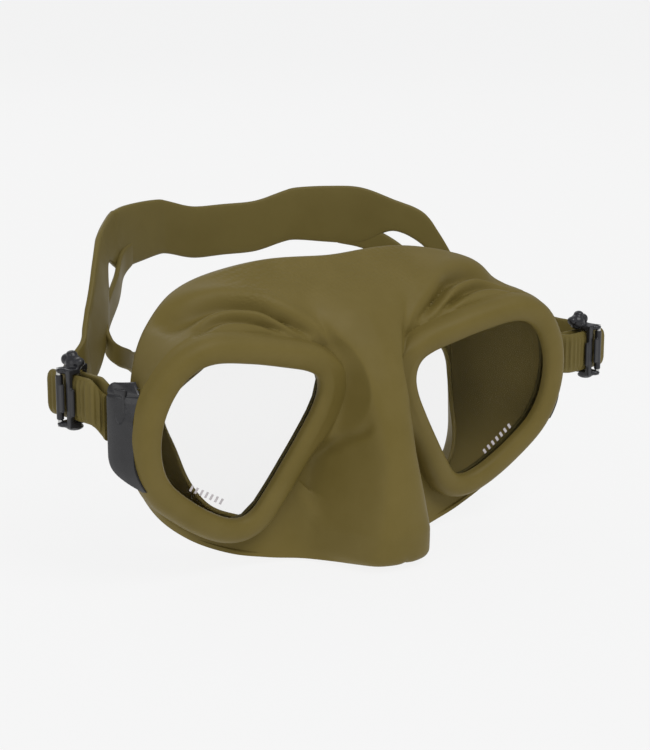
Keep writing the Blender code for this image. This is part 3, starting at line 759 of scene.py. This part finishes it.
def cover_ring(height, shorten, draw_in, cut, side):
    """The cover's closed outline in plan at one height, with the oval dent and the groove under its hump."""
    line = catmull(COVER_LINE, 9)
    back = np.linspace(line[0, 0] + cut, line[-1, 0] - shorten, len(line))
    gap = np.interp(height, *np.array(RIM_GAP).T) * np.linspace(1, 0, len(line)) ** 1.5
    outer = np.stack([back, np.interp(back, line[:, 0], line[:, 1]) - draw_in - gap], axis=1)
    inner = outer - np.array([0.0, COVER_SKIN])
    inner[0] = outer[0] + np.array([0.2, -0.9])
    away = (back - DENT_CENTRE[0]) / DENT_SIZE[0], (height - DENT_CENTRE[1]) / DENT_SIZE[1]
    spread = away[0] ** 2 + away[1] ** 2
    outer[:, 1] -= DENT_DEPTH * np.maximum(1 - spread, 0) ** 0.25
    outer[:, 1] -= DENT_DEPTH * math.exp(-(((height - GROOVE_HEIGHT) / GROOVE_HALF) ** 2))
    return [(side * x, y, height) for y, x in np.concatenate([outer, inner[::-1]])]


def make_cover(label, material):
    side = SIDES[label]["side"]
    bm = bmesh.new()
    taper = catmull(COVER_TAPER, 5)[::-1]
    heights = np.arange(taper[0, 0], taper[-1, 0], COVER_STEP)
    table = np.stack([heights] + [np.interp(heights, taper[:, 0], taper[:, i]) for i in (1, 2, 3)], axis=1)
    rings = [[bm.verts.new(p) for p in cover_ring(*row, side)] for row in table]
    for near, far in zip(rings, rings[1:]):
        for k in range(len(near)):
            following = (k + 1) % len(near)
            bm.faces.new((near[k], near[following], far[following], far[k]))
    bm.faces.new(rings[0])
    bm.faces.new(rings[-1][::-1])
    obj = to_object(f"lug_{label}", bm, material, 50)
    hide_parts(f"lug_cover_{label}")
    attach(obj, "root")


# The bracket's ears in plan, back and across, and the heights between which each lies.
EAR_PLAN = [
    (1.2, 79.1), (1.2, 80.2), (4.0, 81.3), (7.2, 81.5), (8.0, 80.6), (8.0, 76.8), (5.8, 76.8), (5.0, 79.1),
]
EAR_HEIGHTS = ((12.2, 13.9), (-8.9, -7.2))


def make_bracket(label, material):
    """The two ears that hold the strap pin, joined by a post in front of the strap's loop."""
    side = SIDES[label]["side"]
    bm = bmesh.new()
    for low, high in EAR_HEIGHTS:
        rings = [[bm.verts.new((side * x, y, z)) for y, x in EAR_PLAN] for z in (low, high)]
        bm.faces.new(rings[0])
        bm.faces.new(rings[1][::-1])
        for k in range(len(EAR_PLAN)):
            following = (k + 1) % len(EAR_PLAN)
            bm.faces.new((rings[0][k], rings[0][following], rings[1][following], rings[1][k]))
    x_ends = sorted((side * 79.2, side * 80.2))
    made = bmesh.ops.create_cube(bm, size=1.0)
    for vert in made["verts"]:
        low, high = (x_ends[0], 1.3, -8.5), (x_ends[1], 2.4, 13.5)
        vert.co = [low[i] + (vert.co[i] + 0.5) * (high[i] - low[i]) for i in range(3)]
    obj = moulded(to_object(f"bracket_{label}", bm, material), 0.3, 3)
    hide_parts(f"lug_bracket_{label}")
    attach(obj, "root")


# Lenses --------------------------------------------------------------

MARKS = {"right_side": ((-59.5, -18.3), (-47.2, -25.4)), "left_side": ((50.4, -25.6), (61.0, -17.0))}
MARK_COUNT = 7
MARK_HALF = (0.42, 0.95)
MARK_FRONTS = (-3.07, -3.02)


def make_marks(label, material):
    """A row of small pale bars printed inside the lens, low at its edge."""
    start, end = (np.array(p) for p in MARKS[label])
    ahead = (end - start) / np.linalg.norm(end - start)
    across = np.array([-ahead[1], ahead[0]])
    bm = bmesh.new()
    for k in range(MARK_COUNT):
        centre = start + (end - start) * (k + 0.5) / MARK_COUNT
        corners = [
            centre + ahead * MARK_HALF[0] * a + across * MARK_HALF[1] * b
            for a, b in ((-1, -1), (1, -1), (1, 1), (-1, 1))
        ]
        rings = [[bm.verts.new(lens_points(c[0], c[1], front)) for c in corners] for front in MARK_FRONTS]
        bm.faces.new(rings[0])
        bm.faces.new(rings[1][::-1])
        for i in range(4):
            bm.faces.new((rings[0][i], rings[0][(i + 1) % 4], rings[1][(i + 1) % 4], rings[1][i]))
    obj = to_object(f"lens_bars_{label}", bm, material)
    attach(obj, "root")


# Materials of the pieces ---------------------------------------------


def plastic(name, colour, roughness, worn, gloss=0.5):
    """Moulded plastic with a fine grain and slightly uneven gloss."""
    made, tree, shader = new_material(name, colour, roughness, Specular_IOR_Level=gloss)
    mottled(tree, shader, colour, tuple(c * 0.8 for c in colour), 400)
    rough = ranged(tree, noise_texture(tree, 600).outputs["Fac"], roughness - worn, roughness + worn)
    tree.links.new(rough, shader.inputs["Roughness"])
    bumped(tree, shader, noise_texture(tree, 4000, 2.0).outputs["Fac"], 0.1, 0.00008)
    return made


def steel_material():
    made, tree, shader = new_material("stainless steel", (0.55, 0.55, 0.54), 0.28, Metallic=1.0)
    rough = ranged(tree, noise_texture(tree, 1500).outputs["Fac"], 0.2, 0.36)
    tree.links.new(rough, shader.inputs["Roughness"])
    return made


def glass_material():
    """Clear glass as a faint film, so that what is behind it shows."""
    made, tree, shader = new_material("clear glass", (0.12, 0.11, 0.06), 0.03, Alpha=GLASS_ALPHA)
    rough = ranged(tree, noise_texture(tree, 40).outputs["Fac"], 0.02, 0.05)
    tree.links.new(rough, shader.inputs["Roughness"])
    return made


def marks_material():
    made, tree, shader = new_material("pale print", (0.62, 0.58, 0.6), 0.6)
    mottled(tree, shader, (0.62, 0.58, 0.6), (0.52, 0.49, 0.5), 800)
    return made


GLASS_ALPHA = 0.03


def scaled_brow(tree, shader):
    """A faint texture of small scales in the silicone between the brows."""
    place = add_node(tree, "ShaderNodeTexCoord")
    slant = add_node(tree, "ShaderNodeMapping")
    slant.inputs["Rotation"].default_value = (0, math.radians(28), 0)
    slant.inputs["Scale"].default_value = (0.62, 0.5, 1.25)
    cells = add_node(tree, "ShaderNodeTexVoronoi", Scale=900.0, Randomness=0.45)
    tree.links.new(place.outputs["Object"], slant.inputs["Vector"])
    tree.links.new(slant.outputs["Vector"], cells.inputs["Vector"])
    parts = add_node(tree, "ShaderNodeSeparateXYZ")
    tree.links.new(place.outputs["Object"], parts.inputs["Vector"])
    masks = []
    for axis, low, high in (("Z", 0.031, 0.037), ("X", -0.046, -0.034), ("X", 0.034, 0.022)):
        node = add_node(tree, "ShaderNodeMapRange", interpolation_type="SMOOTHSTEP")
        node.inputs["From Min"].default_value = low
        node.inputs["From Max"].default_value = high
        tree.links.new(parts.outputs[axis], node.inputs["Value"])
        masks.append(node.outputs["Result"])
    value = add_node(tree, "ShaderNodeMapRange")
    value.inputs["From Max"].default_value = 0.7
    tree.links.new(cells.outputs["Distance"], value.inputs["Value"])
    product = value.outputs["Result"]
    for mask in masks:
        times = add_node(tree, "ShaderNodeMath", operation="MULTIPLY")
        tree.links.new(product, times.inputs[0])
        tree.links.new(mask, times.inputs[1])
        product = times.outputs["Value"]
    first = shader.inputs["Normal"].links[0].from_node
    bump = add_node(tree, "ShaderNodeBump", Strength=0.45, Distance=0.0004)
    tree.links.new(product, bump.inputs["Height"])
    tree.links.new(first.outputs["Normal"], bump.inputs["Normal"])
    tree.links.new(bump.outputs["Normal"], shader.inputs["Normal"])


def set_material(node, material):
    """Gives a carried-over CAD node this material in all its slots."""
    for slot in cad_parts[node].material_slots:
        slot.material = material


make_camera()
make_stage()
skirt_silicone, skirt_tree, skirt_shader = silicone("olive skirt silicone", OLIVE_LIGHT, OLIVE_DARK, 0.5)
scaled_brow(skirt_tree, skirt_shader)
strap_silicone, _, _ = silicone("olive strap silicone", STRAP_LIGHT, STRAP_DARK, 0.46)
black = plastic("black plastic", (0.014, 0.014, 0.017), 0.36, 0.06)
lug_black = plastic("lug black plastic", (0.016, 0.016, 0.018), 0.3, 0.06)
frame_plastic = plastic("dark olive frame", (0.075, 0.06, 0.018), 0.6, 0.05, 0.12)
glass, steel, print_pale = glass_material(), steel_material(), marks_material()
make_skirt(skirt_silicone)
make_strap(strap_silicone)
set_material("inner_frame", frame_plastic)
for label in SIDES:
    make_buckle(label, black)
    make_cam(label, black)
    make_cover(label, lug_black)
    make_bracket(label, lug_black)
    make_marks(label, print_pale)
    set_material(f"lens_{label}", glass)
    for pin in ("strap_pin", "cam_pin", "buckle_roller"):
        set_material(f"{pin}_{label}", steel)
